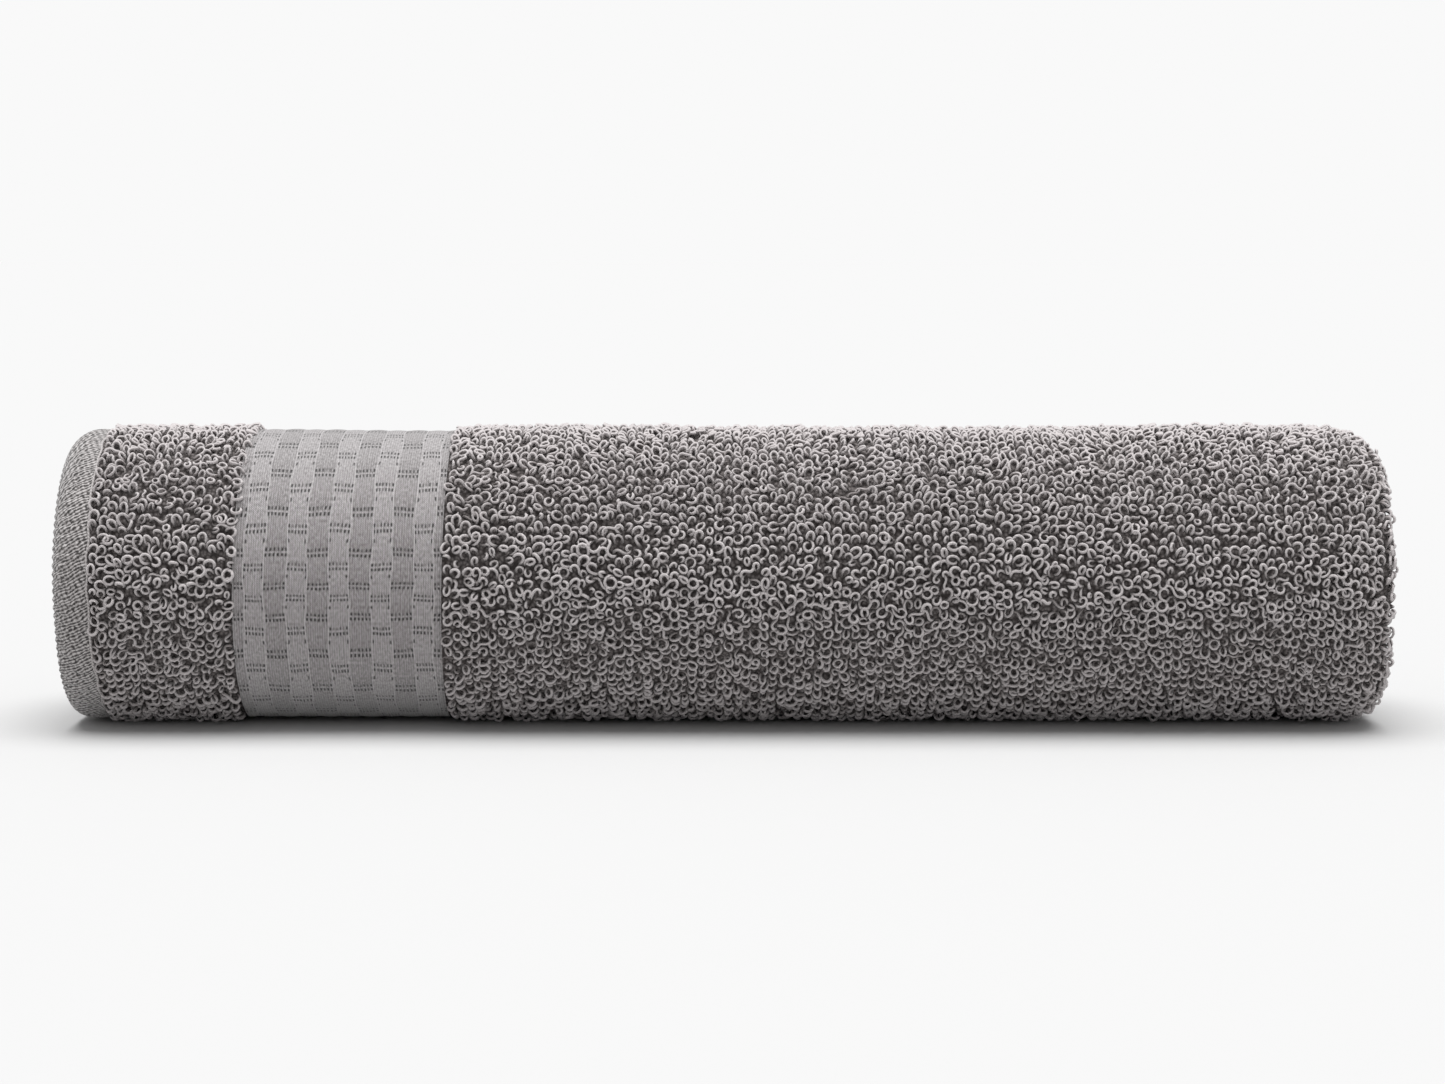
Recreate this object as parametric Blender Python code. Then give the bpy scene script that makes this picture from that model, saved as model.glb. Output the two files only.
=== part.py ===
"""A bath towel, folded in thirds along its length and rolled up across its width.

Metres, +Z up. +X runs along the roll from the hemmed end to the folded end, -Y is the front, and the
origin is on the floor under the middle of the roll's box. The towel is one cut of terry with its hems
turned and its border woven in, so it is one solid: the wound strip, with a groove at each end where
one turn meets the next, and the strip's loose end lying on the floor behind the roll.
"""

import math

import bmesh
import bpy
from mathutils import Vector

# The towel as it is cut, folded and rolled.
TOWEL_LENGTH = 1.40
LAYERS = 3
LAYER_THICKNESS = 0.0040
ROLL_LENGTH = TOWEL_LENGTH / LAYERS
ROLL_HEIGHT = 0.106
TURN_PITCH = LAYERS * LAYER_THICKNESS

# The wound strip. Angles run from the back (+Y) over the top, round the front and under the roll.
STEPS_PER_TURN = 48
STEP_ANGLE = 2 * math.pi / STEPS_PER_TURN
LAST_STEP = 224
TAIL_STEPS = 4
TAIL_START = LAST_STEP - TAIL_STEPS
TAIL_START_ANGLE = math.radians(272)
TAIL_REACH = 0.027
TAIL_ROUNDING = 0.0045
TAIL_THINNING = 0.2
SETTLING = 0.0012
SETTLING_DEPTH = 0.030

# The flat-woven hem and border lie lower than the looped pile. Places are along X.
FLAT_RECESS = 0.0014
RECESS_SLOPE = 0.0015
HEM_INNER_EDGE = -ROLL_LENGTH / 2 + 0.013
BORDER_START = -ROLL_LENGTH / 2 + 0.0630
BORDER_END = -ROLL_LENGTH / 2 + 0.1360
LAST_RING = ROLL_LENGTH / 2 - 0.030
MAIN_PILE_RINGS = 8

# How far the two ends of the roll are set back across one turn of the strip. At the hemmed end the
# hem curls in over the fold of the two layers under it, and at the folded end all three layers turn
# over in one fold.
END_COLUMNS = ("share_of_turn", "hemmed_end", "folded_end")
END_PROFILE = (
    (0.00, 0.0090, 0.0090),
    (0.08, 0.0066, 0.0042),
    (0.26, 0.0052, 0.0013),
    (0.42, 0.0066, 0.0001),
    (0.56, 0.0004, 0.0001),
    (0.80, 0.0009, 0.0028),
    (1.00, 0.0060, 0.0090),
)
ACROSS = len(END_PROFILE) - 1
# The outer turn is rounder than the rest, and the ends are crowned: the inner turns stand out further.
OUTER_EXTRA = {"hemmed_end": 0.0030, "folded_end": 0.0035}
CROWN = {"hemmed_end": 0.0010, "folded_end": 0.0042}
CROWN_FADE = 0.009

# Slow unevenness of the rolled cloth: its height, waves along the roll and waves round it.
LUMPS = ((0.00035, 3.0, 2, 0.4), (0.00030, 5.0, 3, 1.9), (0.00025, 8.0, 1, 4.2))
LUMP_FADE = 0.04
LUMP_CLEARANCE = 0.012

COLOUR = (0.235, 0.222, 0.220, 1.0)
ROUGHNESS = 0.95


def smooth(value):
    """A soft step from 0 to 1 as value goes from 0 to 1."""
    value = min(1.0, max(0.0, value))
    return value * value * (3 - 2 * value)


def wound_on_since(angle):
    """How much radius the strip gains from that angle until its tail leaves the roll."""
    return TURN_PITCH * (TAIL_START_ANGLE - angle) / (2 * math.pi)


# The roll stands ROLL_HEIGHT high: its radius above plus its radius below, less what it settles.
TAIL_RADIUS = (ROLL_HEIGHT + SETTLING + wound_on_since(math.pi / 2)) / 2
AXIS_HEIGHT = TAIL_RADIUS - SETTLING
CORE_RADIUS = TAIL_RADIUS - TURN_PITCH * TAIL_START / STEPS_PER_TURN
# The front bulges further from the axis than the back, so the axis lies behind the box's middle.
AXIS_Y = (wound_on_since(0) - wound_on_since(math.pi)) / 2


def outer_radius(step):
    return CORE_RADIUS + TURN_PITCH * step / STEPS_PER_TURN


def settled(y, z):
    """The point after the roll has flattened on the floor, which fades out with height."""
    below = AXIS_HEIGHT - math.sqrt(max(0.0, TAIL_RADIUS**2 - (y - AXIS_Y) ** 2))
    lift = max(0.0, -below)
    return y, z + lift * max(0.0, 1 - (z - below) / SETTLING_DEPTH)


def section_point(step, share):
    """(y, z) of the point that far across the strip, at a step along it. The last steps lie straight
    back along the floor and thin a little, and the loose edge itself is rounded."""
    along = max(0, step - TAIL_START) / TAIL_STEPS
    round_step = min(step, TAIL_START)
    inner = outer_radius(round_step - STEPS_PER_TURN) if round_step >= STEPS_PER_TURN else 0.0
    radius = inner + (outer_radius(round_step) - inner) * share
    angle = TAIL_START_ANGLE + (round_step - TAIL_START) * STEP_ANGLE
    y, z = settled(AXIS_Y + radius * math.cos(angle), AXIS_HEIGHT + radius * math.sin(angle))
    bulge = TAIL_ROUNDING * math.sqrt(4 * share * (1 - share)) if step == LAST_STEP else 0.0
    return Vector((y + TAIL_REACH * along + bulge, z * (1 - TAIL_THINNING * smooth(along))))


def set_back(step, row, end):
    """How far a point of an end lies inside the roll's full length."""
    column = END_COLUMNS.index(end)
    share, depth = END_PROFILE[row][0], END_PROFILE[row][column]
    inner = outer_radius(step - STEPS_PER_TURN) if step >= STEPS_PER_TURN else 0.0
    width = outer_radius(step) - inner
    radius = inner + width * share
    depth *= min(1.0, width / TURN_PITCH)
    if step > LAST_STEP - STEPS_PER_TURN:
        depth += OUTER_EXTRA[end] * max(0.0, 2 * share - 1) ** 3
    return depth + CROWN[end] * math.exp(-max(0.0, TAIL_RADIUS - radius) / CROWN_FADE)


def node_of(step, row):
    """The one name of a point that neighbouring turns share: a turn's inner side is the outer side of
    the turn before it, all the way in to the roll's centre. The tail's inner side is free."""
    if row > 0 or step > TAIL_START:
        return step, row
    if step >= STEPS_PER_TURN:
        return step - STEPS_PER_TURN, ACROSS
    return "centre"


def outline_nodes():
    """The nodes round the outside of the roll's section, in order."""
    round_roll = [(step, ACROSS) for step in range(TAIL_START - STEPS_PER_TURN, LAST_STEP + 1)]
    loose_edge = [(LAST_STEP, row) for row in range(ACROSS - 1, -1, -1)]
    over_tail = [(step, 0) for step in range(LAST_STEP - 1, TAIL_START, -1)]
    return round_roll + loose_edge + over_tail


def outward(points, index):
    """The direction out of the section at one point of its outline."""
    before, after = points[index - 1], points[(index + 1) % len(points)]
    along = (after - before).normalized()
    return Vector((along.y, -along.x))


def flatness(x):
    """1 where the cloth is woven flat, in the hem and the border, and 0 where it has its pile."""
    in_hem = 1 - smooth((x - HEM_INNER_EDGE) / RECESS_SLOPE + 0.5)
    past_start = smooth((x - BORDER_START) / RECESS_SLOPE + 0.5)
    past_end = smooth((x - BORDER_END) / RECESS_SLOPE + 0.5)
    return in_hem + past_start - past_end


def lump(x, point):
    """The cloth's slow unevenness outwards, none at the ends, on the floor and on the tail."""
    angle = math.atan2(point.y - AXIS_HEIGHT, point.x - AXIS_Y)
    waves = sum(
        height * math.sin(math.pi * along * x / ROLL_LENGTH + phase) * math.cos(around * angle + phase)
        for height, along, around, phase in LUMPS
    )
    from_end = smooth((ROLL_LENGTH / 2 - abs(x)) / LUMP_FADE - 0.5)
    return waves * from_end * smooth((point.y - LUMP_CLEARANCE) / LUMP_CLEARANCE)


def stations():
    """The places along X of the roll's rings of points: either side of each change of weave, and
    spread evenly between."""
    changes = [
        edge + side * RECESS_SLOPE / 2
        for edge in (HEM_INNER_EDGE, BORDER_START, BORDER_END)
        for side in (-1, 1)
    ]
    in_bands = [(HEM_INNER_EDGE + BORDER_START) / 2, (BORDER_START + BORDER_END) / 2]
    main_pile = LAST_RING - BORDER_END
    spread = [BORDER_END + main_pile * (i + 1) / MAIN_PILE_RINGS for i in range(MAIN_PILE_RINGS)]
    return sorted(changes + in_bands + spread)


def add_end(mesh, end, side):
    """The points and faces of one end of the roll. Returns its points by node."""
    points = {}
    recess = FLAT_RECESS if end == "hemmed_end" else 0.0
    outline = outline_nodes()
    flat_outline = [section_point(step, END_PROFILE[row][0]) for step, row in outline]
    outwards = {node: outward(flat_outline, i) for i, node in enumerate(outline)}

    def add(step, row):
        node = node_of(step, row)
        if node in points:
            return
        share = END_PROFILE[row][0] if node != "centre" else 0.0
        place = section_point(step, share)
        if step > TAIL_START - STEPS_PER_TURN:
            rim = outwards.get((step, ACROSS))
            place = place - rim * recess * share if rim else place
        x = side * (ROLL_LENGTH / 2 - set_back(step, row, end))
        points[node] = mesh.verts.new((x, place.x, place.y))

    for step in range(LAST_STEP + 1):
        for row in range(ACROSS + 1):
            add(step, row)

    def at(step, row):
        return points[node_of(step, row)]

    for step in range(1, LAST_STEP + 1):
        for row in range(ACROSS):
            if step == STEPS_PER_TURN and row == 0:
                continue
            corners = [at(step - 1, row), at(step - 1, row + 1), at(step, row + 1), at(step, row)]
            mesh.faces.new(list(dict.fromkeys(corners)))
    # The first turn closes on the strip's inner end, which has points that the last step lacks.
    inner_end = [at(0, row) for row in range(ACROSS + 1)] + [at(STEPS_PER_TURN, 1)]
    for first, second in zip(inner_end, inner_end[1:]):
        mesh.faces.new([at(STEPS_PER_TURN - 1, 1), first, second])
    return points


def add_side(mesh, hemmed, folded):
    """The rings of points along the roll, and the faces between the two ends."""
    nodes = outline_nodes()
    outline = [section_point(step, END_PROFILE[row][0]) for step, row in nodes]
    rings = [[hemmed[node_of(*node)] for node in nodes]]
    for x in stations():
        ring = []
        for i, point in enumerate(outline):
            in_wedge = nodes[i] == (TAIL_START - STEPS_PER_TURN, ACROSS)
            rise = 0.0 if in_wedge else lump(x, point) - FLAT_RECESS * flatness(x)
            place = point + outward(outline, i) * rise
            ring.append(mesh.verts.new((x, place.x, place.y)))
        rings.append(ring)
    rings.append([folded[node_of(*node)] for node in nodes])
    for near, far in zip(rings, rings[1:]):
        for i in range(len(nodes)):
            following = (i + 1) % len(nodes)
            mesh.faces.new([near[i], near[following], far[following], far[i]])


def terry_material():
    material = bpy.data.materials.new("cotton_terry")
    material.use_nodes = True
    shader = material.node_tree.nodes["Principled BSDF"]
    shader.inputs["Base Color"].default_value = COLOUR
    shader.inputs["Roughness"].default_value = ROUGHNESS
    shader.inputs["Metallic"].default_value = 0.0
    return material


def rolled_towel():
    mesh = bmesh.new()
    hemmed = add_end(mesh, "hemmed_end", -1)
    folded = add_end(mesh, "folded_end", 1)
    add_side(mesh, hemmed, folded)
    bmesh.ops.triangulate(mesh, faces=mesh.faces[:])
    bmesh.ops.recalc_face_normals(mesh, faces=mesh.faces[:])
    data = bpy.data.meshes.new("towel")
    mesh.to_mesh(data)
    mesh.free()
    data.materials.append(terry_material())
    data.shade_smooth()
    towel = bpy.data.objects.new("towel", data)
    bpy.context.scene.collection.objects.link(towel)


for old in list(bpy.data.objects):
    bpy.data.objects.remove(old)
rolled_towel()
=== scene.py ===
"""A rolled bath towel: one length of looped terry with flat-woven hems and a check border, folded in
thirds along its length, rolled up across its width, and laid on its loose end."""

import math

import bpy
import numpy as np
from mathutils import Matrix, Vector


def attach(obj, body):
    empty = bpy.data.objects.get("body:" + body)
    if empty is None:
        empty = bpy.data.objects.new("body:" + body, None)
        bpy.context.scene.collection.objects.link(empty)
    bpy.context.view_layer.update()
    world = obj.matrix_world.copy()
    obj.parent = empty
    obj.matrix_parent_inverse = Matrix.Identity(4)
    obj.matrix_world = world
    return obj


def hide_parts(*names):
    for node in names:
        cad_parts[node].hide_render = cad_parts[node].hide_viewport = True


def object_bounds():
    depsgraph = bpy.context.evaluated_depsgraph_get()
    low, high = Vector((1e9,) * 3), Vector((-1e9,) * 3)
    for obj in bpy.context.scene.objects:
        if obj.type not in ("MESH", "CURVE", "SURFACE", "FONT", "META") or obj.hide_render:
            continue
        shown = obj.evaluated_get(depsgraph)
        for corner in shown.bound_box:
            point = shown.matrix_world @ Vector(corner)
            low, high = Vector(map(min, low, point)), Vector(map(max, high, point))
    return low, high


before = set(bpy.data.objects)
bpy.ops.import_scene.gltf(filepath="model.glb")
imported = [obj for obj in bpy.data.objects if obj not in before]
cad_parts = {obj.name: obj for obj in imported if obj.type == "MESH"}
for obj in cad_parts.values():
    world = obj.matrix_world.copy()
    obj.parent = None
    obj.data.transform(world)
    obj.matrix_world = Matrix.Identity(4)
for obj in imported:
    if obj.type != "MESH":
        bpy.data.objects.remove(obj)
cad_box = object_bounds()

# The cloth: the woven ground of a cotton terry towel, 0.70 x 1.40 m, folded in three, hem over fold,
# and wound four and a half times. It settles flat where it rests, its loose end laid straight back.
# Everything on it is placed by turns along this strip, by x, and by depth under the outermost face.

MM = 0.001
LEFT_END = cad_box[0].x
RIGHT_END = cad_box[1].x
ROLL_HEIGHT = 106 * MM
TURN_PITCH = 12 * MM
WOUND_TURNS = 220 / 48
TAIL_TURNS = 4 / 48
TAIL_ANGLE = math.radians(272)
TAIL_REACH = 27 * MM
TAIL_THINNING = 0.2
CORE_RADIUS = 13 * MM
SETTLING = 1.2 * MM
SETTLING_DEPTH = 30 * MM
PITCH_PER_RADIAN = TURN_PITCH / (2 * math.pi)
TAIL_RADIUS = (ROLL_HEIGHT + SETTLING + PITCH_PER_RADIAN * (TAIL_ANGLE - math.pi / 2)) / 2
AXIS_HEIGHT = TAIL_RADIUS - SETTLING
AXIS_Y = PITCH_PER_RADIAN * math.pi / 2
# The folded end leans in at its rim, and its outer turn stands back from the inner ones.
LEAN = 5.1 * MM
LEAN_LENGTH = 14 * MM
LEAN_POWER = 1.3
CROWN = 3.2 * MM
CROWN_FADE = 9 * MM
CROWN_LENGTH = 40 * MM
# Where the roll bears on the floor its ends are pressed square.
PRESSED_FROM = 0.3
PRESSED_FULLY = 0.8
PRESSED_FOLD = 0.7
PRESSED_HEM = 0.45
HEM_PRESS_LENGTH = 15 * MM
# Slow unevenness: height, half waves along the roll, waves round it, and phase.
LUMPS = ((0.35 * MM, 3, 2, 0.4), (0.30 * MM, 5, 3, 1.9), (0.25 * MM, 8, 1, 4.2))
LUMP_FADE = 40 * MM
LUMP_CLEARANCE = 12 * MM


def smooth(value):
    """3v^2 - 2v^3 with v held between 0 and 1."""
    held = np.clip(value, 0, 1)
    return held * held * (3 - 2 * held)


def section(turns, depth):
    """(y, z) on the strip: a spiral that gains one pitch a turn, squeezed at its core, raised to the
    floor where it would sink below it, and past its last turn a straight run back along the floor
    that thins a little."""
    wound = np.minimum(turns, WOUND_TURNS)
    outer_radius = TAIL_RADIUS - TURN_PITCH * (WOUND_TURNS - wound)
    radius = outer_radius - depth * np.minimum(1, outer_radius / CORE_RADIUS)
    angle = TAIL_ANGLE + 2 * np.pi * (wound - WOUND_TURNS)
    y = AXIS_Y + radius * np.cos(angle)
    z = AXIS_HEIGHT + radius * np.sin(angle)
    below = AXIS_HEIGHT - np.sqrt(np.maximum(0, TAIL_RADIUS**2 - (y - AXIS_Y) ** 2))
    z = z + np.maximum(0, -below) * np.clip(1 - (z - below) / SETTLING_DEPTH, 0, 1)
    along = np.maximum(0, turns - WOUND_TURNS) / TAIL_TURNS
    return y + TAIL_REACH * along, z * (1 - TAIL_THINNING * smooth(along))


def place(turns, x, depth):
    """Points (..., 3) of the roll. Near the folded end depth grows by LEAN (1 - distance /
    LEAN_LENGTH)^LEAN_POWER and x falls back by CROWN exp(-buried / CROWN_FADE), both less underneath,
    where the curl of the hem is flatter too. Elsewhere the outer turn rises and falls by a sum of
    sines."""
    turns, x, depth = np.broadcast_arrays(turns, x, depth)
    y, z = section(turns, depth)
    angle = np.arctan2(z - AXIS_HEIGHT, y - AXIS_Y)
    pressed = smooth((-np.sin(angle) - PRESSED_FROM) / (PRESSED_FULLY - PRESSED_FROM))
    buried = np.maximum(0, depth + TURN_PITCH * np.maximum(0, WOUND_TURNS - 1 - turns))
    lean = LEAN * np.clip(1 - (RIGHT_END - x) / LEAN_LENGTH, 0, 1) ** LEAN_POWER
    lean = lean * np.clip(1 - buried / (2 * TURN_PITCH), 0, 1) * (1 - PRESSED_FOLD * pressed)
    crown = CROWN * np.exp(-buried / CROWN_FADE) * smooth(1 - (RIGHT_END - x) / CROWN_LENGTH)
    crowned_x = x - crown * (1 - PRESSED_FOLD * pressed)
    at_hem = smooth(1 - (x - LEFT_END) / HEM_PRESS_LENGTH) * np.clip(2 - buried / TURN_PITCH, 0, 1)
    depth = depth * (1 - PRESSED_HEM * pressed * at_hem)
    swell = sum(
        height * np.sin(np.pi * along * x / (RIGHT_END - LEFT_END) + phase) * np.cos(waves * angle + phase)
        for height, along, waves, phase in LUMPS
    )
    swell = swell * smooth((RIGHT_END - np.abs(x)) / LUMP_FADE - 0.5)
    swell = swell * smooth(z / LUMP_CLEARANCE - 1) * np.clip(1 - buried / TURN_PITCH, 0, 1)
    y, z = section(turns, depth + lean - swell)
    return np.stack([crowned_x, y, z], axis=-1)


# Depths are to the middle of each layer. The folds and the curl of the hem are parts of ellipses.
HEM_DEPTH = 2.5 * MM
HEM_THICKNESS = 2.3 * MM
HEM_BULGE = 0.9 * MM
HEM_INSET = 10 * MM
HEM_CENTRE = LEFT_END + HEM_INSET
HEM_REACH = HEM_INSET + HEM_BULGE - HEM_THICKNESS / 2
HEM_CURL = 5.85 * MM
HEM_CURL_END = 84
HEM_EDGE = LEFT_END + 11.8 * MM
BORDER_START = LEFT_END + 62.6 * MM
BORDER_END = LEFT_END + 134.7 * MM
PILE_HEIGHT = 2.4 * MM
PILE_PAST_END = 1.0 * MM
GROUND_THICKNESS = 1.6 * MM
PADDED_THICKNESS = 2.6 * MM
OUTER_LAYER = 3.2 * MM
BORDER_LAYER = 2.5 * MM
MIDDLE_LAYER = 6.5 * MM
INNER_LAYER = 9.8 * MM
RIGHT_FOLD_REACH = 5 * MM
RIGHT_FOLD_HEIGHT = (INNER_LAYER - OUTER_LAYER) / 2
RIGHT_FOLD_X = RIGHT_END - PILE_HEIGHT + PILE_PAST_END - RIGHT_FOLD_REACH
LEFT_FOLD_REACH = 3 * MM
LEFT_FOLD_HEIGHT = (INNER_LAYER - MIDDLE_LAYER) / 2
LEFT_FOLD_DEPTH = MIDDLE_LAYER + LEFT_FOLD_HEIGHT
LEFT_FOLD_INSET = 7.4 * MM
LEFT_FOLD_X = LEFT_END + LEFT_FOLD_INSET + LEFT_FOLD_REACH
STRIP_START = 0.68
OUTER_TURN_STEPS = 84
INNER_TURN_STEPS = 42
LOOSE_END_STEPS = 7
FINE_STEPS = 2000
EDGE_ROUNDING = 1.2 * MM
EDGE_ANGLES = np.radians([30, 60, 85])
SELVEDGE_WIDTH = 9 * MM
FOOT_SPACING = 1.5 * MM


def bend(x, depth, reach, height, first, last, steps):
    """Part of an ellipse about (x, depth): x + reach sin(a), depth - height cos(a), a in degrees."""
    a = np.radians(np.linspace(first, last, steps))
    return np.stack([x + reach * np.sin(a), depth - height * np.cos(a)], axis=1)


def run(first, last, depth, steps):
    """A straight stretch between two places along x at one depth."""
    return np.stack([np.linspace(first, last, steps), np.full(steps, depth)], axis=1)


def hem_curve(first, last, steps, lift=0.0):
    """The curl of the hem between two angles, moved out from the middle of the cloth by lift."""
    return bend(HEM_CENTRE, HEM_DEPTH + HEM_CURL, -HEM_REACH - lift, HEM_CURL + lift, first, last, steps)


def cloth_path():
    """(x, depth, thickness) along the middle of the cloth from its hem to its far end: straight runs
    joined by bends, with more places where the end leans in."""
    step = 0.8 * MM
    lean_from = RIGHT_FOLD_X - 9 * MM
    lean_to = RIGHT_FOLD_X - 3 * MM
    inner_from = RIGHT_FOLD_X - 8 * MM
    inner_to = LEFT_FOLD_X + 8 * MM
    far_end = RIGHT_FOLD_X - 4 * MM
    right_fold = bend(RIGHT_FOLD_X, MIDDLE_LAYER, RIGHT_FOLD_REACH, RIGHT_FOLD_HEIGHT, 0, 180, 9)
    left_fold = bend(LEFT_FOLD_X, LEFT_FOLD_DEPTH, -LEFT_FOLD_REACH, -LEFT_FOLD_HEIGHT, 0, 180, 7)
    stretches = (
        (hem_curve(HEM_CURL_END, 0, 9), HEM_THICKNESS),
        (run(HEM_EDGE - step, HEM_EDGE, HEM_DEPTH, 2), HEM_THICKNESS),
        (run(HEM_EDGE + step, BORDER_START - step, OUTER_LAYER, 3), GROUND_THICKNESS),
        (run(BORDER_START + step, BORDER_END - step, BORDER_LAYER, 3), GROUND_THICKNESS),
        (run(BORDER_END + step, RIGHT_FOLD_X - LEAN_LENGTH, OUTER_LAYER, 7), GROUND_THICKNESS),
        (run(lean_from, lean_to, OUTER_LAYER, 3), GROUND_THICKNESS),
        (right_fold, GROUND_THICKNESS),
        (run(inner_from, inner_to, INNER_LAYER, 3), PADDED_THICKNESS),
        (left_fold, GROUND_THICKNESS),
        (run(inner_to, far_end, MIDDLE_LAYER, 3), PADDED_THICKNESS),
    )
    rows = [np.column_stack([path, np.full(len(path), thickness)]) for path, thickness in stretches]
    return np.concatenate(rows)


def unit(vectors):
    """Each vector divided by its length."""
    return vectors / np.linalg.norm(vectors, axis=-1, keepdims=True)


def outwards(path):
    """(x, depth) of the way out of the cloth's outer face along a path: its slope turned square."""
    slope = unit(np.gradient(path[:, :2], axis=0))
    return np.stack([slope[:, 1], -slope[:, 0]], axis=1)


def length_along(points):
    """Distance from the first of a row of points to each."""
    return np.concatenate([[0], np.cumsum(np.linalg.norm(np.diff(points, axis=0), axis=1))])


def strip_turns(spacing):
    """Places along the outer turn and the loose end, evenly spaced on the outer face."""
    fine = np.linspace(WOUND_TURNS - 1, WOUND_TURNS + TAIL_TURNS, FINE_STEPS)
    length = length_along(place(fine, 0.0, 0.0))
    return np.interp(np.linspace(0, length[-1], int(length[-1] / spacing) + 1), length, fine)


def mesh_object(name, points, groups):
    """A smooth piece of polygons, in groups of one number of corners each, that rides on the roll, with
    the towel part hidden. They are turned to enclose a volume. Returns it, and whether they kept their
    order."""
    flat = points.reshape(-1, 3)
    a, b, c, d = (flat[groups[0][:, corner]] - flat.mean(axis=0) for corner in range(4))
    kept_order = np.sum(a * (np.cross(b, c) + np.cross(c, d))) > 0
    groups = [group if kept_order else group[:, ::-1] for group in groups]
    corners = np.concatenate([group.ravel() for group in groups])
    sizes = np.concatenate([np.full(len(group), group.shape[1]) for group in groups])
    mesh = bpy.data.meshes.new(name)
    mesh.vertices.add(len(flat))
    mesh.vertices.foreach_set("co", flat.astype(np.float32).ravel())
    mesh.loops.add(len(corners))
    mesh.loops.foreach_set("vertex_index", corners.astype(np.int32))
    mesh.polygons.add(len(sizes))
    mesh.polygons.foreach_set("loop_start", (np.cumsum(sizes) - sizes).astype(np.int32))
    mesh.update(calc_edges=True)
    mesh.shade_smooth()
    piece = bpy.data.objects.new(name, mesh)
    bpy.context.scene.collection.objects.link(piece)
    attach(piece, "root")
    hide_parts("towel")
    return piece, kept_order


def add_map(piece, name, groups, kept_order):
    """A UV map from groups of (polygons, corners, 2) places in the order that the polygons had."""
    groups = [group if kept_order else group[:, ::-1] for group in groups]
    layer = piece.data.uv_layers.new(name=name)
    places = np.concatenate([group.reshape(-1) for group in groups]).astype(np.float32)
    layer.uv.foreach_set("vector", places)


def closed_strip(name, rings, looks, **measures):
    """A closed piece from rings (rows, ring, 3) that go round its section, with a flat cap at each
    end. Each measure (rows, ring, 2) becomes a UV map, and "OFBake" unrolls the piece on a square,
    its two caps as discs in the top row."""
    rows, ring = rings.shape[:2]
    row = np.arange(rows - 1)[:, None] * ring
    here = np.arange(ring)
    after = np.roll(here, -1)
    quads = np.stack([row + here, row + after, row + ring + after, row + ring + here], axis=-1)
    quads = quads.reshape(-1, 4)
    caps = np.stack([here[::-1], (rows - 1) * ring + here])
    piece, kept_order = mesh_object(name, rings, [quads, caps])
    for label, places in measures.items():
        flat = places.reshape(-1, 2)
        add_map(piece, label, [flat[quads], flat[caps]], kept_order)
    across = (here[None, :, None] + np.array([0, 1, 1, 0])) / ring
    along = (np.arange(rows - 1)[:, None, None] + np.array([0, 0, 1, 1])) / rows
    unrolled = np.stack(np.broadcast_arrays(across, along), axis=-1).reshape(-1, 4, 2)
    around = 2 * np.pi * here / ring
    disc = np.stack([np.cos(around), np.sin(around)], axis=-1) * 0.45 / rows
    discs = disc + np.array([[[0.25, 1 - 0.5 / rows]], [[0.75, 1 - 0.5 / rows]]])
    add_map(piece, "OFBake", [unrolled, discs], kept_order)
    piece.data.materials.append(looks)
    return piece


def linear(hex_colour):
    """An sRGB hex colour as linear RGBA."""
    parts = [int(hex_colour[i:i + 2], 16) / 255 for i in (1, 3, 5)]
    return [p / 12.92 if p <= 0.04045 else ((p + 0.055) / 1.055) ** 2.4 for p in parts] + [1.0]


def node(looks, kind, inputs, stops=(), **settings):
    """Adds one node and returns its outputs. Its inputs, by name or number, are values or outputs of
    other nodes, and stops are the places and hex colours of a colour ramp."""
    new = looks.node_tree.nodes.new(kind)
    for key, value in settings.items():
        setattr(new, key, value)
    for key, value in inputs.items():
        if isinstance(value, bpy.types.NodeSocket):
            looks.node_tree.links.new(value, new.inputs[key])
        else:
            new.inputs[key].default_value = value
    for number, (position, colour) in enumerate(stops):
        if number > 1:
            new.color_ramp.elements.new(1.0)
        new.color_ramp.elements[number].position = position
        new.color_ramp.elements[number].color = linear(colour)
    return new.outputs


def matt_fibre(name, sheen):
    """A material of cotton or paper fibres: no gloss to speak of, and for cotton a nap that lights up
    where it is seen edge on. Returns it and its shader."""
    looks = bpy.data.materials.new(name)
    looks.use_nodes = True
    shader = looks.node_tree.nodes["Principled BSDF"]
    shader.inputs["Roughness"].default_value = 0.92
    shader.inputs["Specular IOR Level"].default_value = 0.2
    shader.inputs["Sheen Weight"].default_value = sheen
    shader.inputs["Sheen Roughness"].default_value = 0.55
    return looks, shader


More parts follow.
